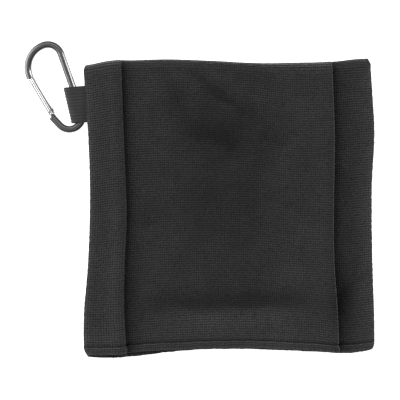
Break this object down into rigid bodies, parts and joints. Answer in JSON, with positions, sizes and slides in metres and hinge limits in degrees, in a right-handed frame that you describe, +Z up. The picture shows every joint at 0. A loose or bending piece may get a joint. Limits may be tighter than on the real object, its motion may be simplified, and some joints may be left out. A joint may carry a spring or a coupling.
{
  "type": "golf towel",
  "caption": "Terry golf towel pleated lengthwise and folded in half, with a webbing loop at its side that carries a small gated carabiner.",
  "frame": {"origin": "on the table under the middle of the whole outline, carabiner included", "axes": "+Z up out of the table, +Y towards the towel's top fold, +X from the carabiner side to the plain side"},
  "size_m": [0.2361, 0.2134, 0.0104],
  "materials": {
    "terry": "charcoal grey microfibre terry",
    "thread": "black sewing thread",
    "webbing": "charcoal ribbed webbing",
    "anodised": "dark grey anodised",
    "gate": "polished",
    "pin": "plain",
    "spring": "plain"
  },
  "bodies": {
    "towel_back": {"towel_back_leaf": "terry", "back_hem_thread": "thread", "towel_top_fold": "terry"},
    "towel_front": {"towel_front_leaf": "terry", "front_hem_thread": "thread", "webbing_tail": "webbing", "loop_tack_thread": "thread"},
    "loop": {"webbing_loop": "webbing"},
    "carabiner": {"carabiner_body": "anodised"},
    "gate": {"gate_tube": "gate", "gate_hinge_rivet": "pin", "gate_latch_pin": "pin", "gate_spring": "spring"},
    "plunger": {"gate_plunger": "pin"}
  },
  "joints": [
    {"name": "unfold", "type": "hinge", "parent": "towel_back", "child": "towel_front", "pos_m": [0.02, 0.08825, 0.00495], "axis": [-1, 0, 0], "range_deg": [0, 179], "deforming": ["towel_top_fold"]},
    {"name": "loop_flex", "type": "hinge", "parent": "towel_front", "child": "loop", "pos_m": [-0.0747, 0.0641, 0.01045], "axis": [0, 1, 0], "range_deg": [0, 90]},
    {"name": "carabiner_turn", "type": "hinge", "parent": "loop", "child": "carabiner", "pos_m": [-0.082, 0.0649, 0.00522], "axis": [-0.2233, 0.9748, 0], "range_deg": [0, 60]},
    {"name": "gate_open", "type": "hinge", "parent": "carabiner", "child": "gate", "pos_m": [-0.10052, 0.05946, 0.00298], "axis": [0.1066, 0.0375, -0.9936], "range_deg": [0, 28], "stiffness_Nm_per_rad": 0.006, "springref_deg": -6.88},
    {"name": "plunger_slide", "type": "slide", "parent": "gate", "child": "plunger", "axis": [-0.5089, 0.8606, -0.0221], "range_m": [0, 0.000516], "deforming": ["gate_spring"]}
  ],
  "couplings": [
    {"joint": "gate_open", "follows": "plunger_slide", "rad_per_m": 946.3}
  ]
}
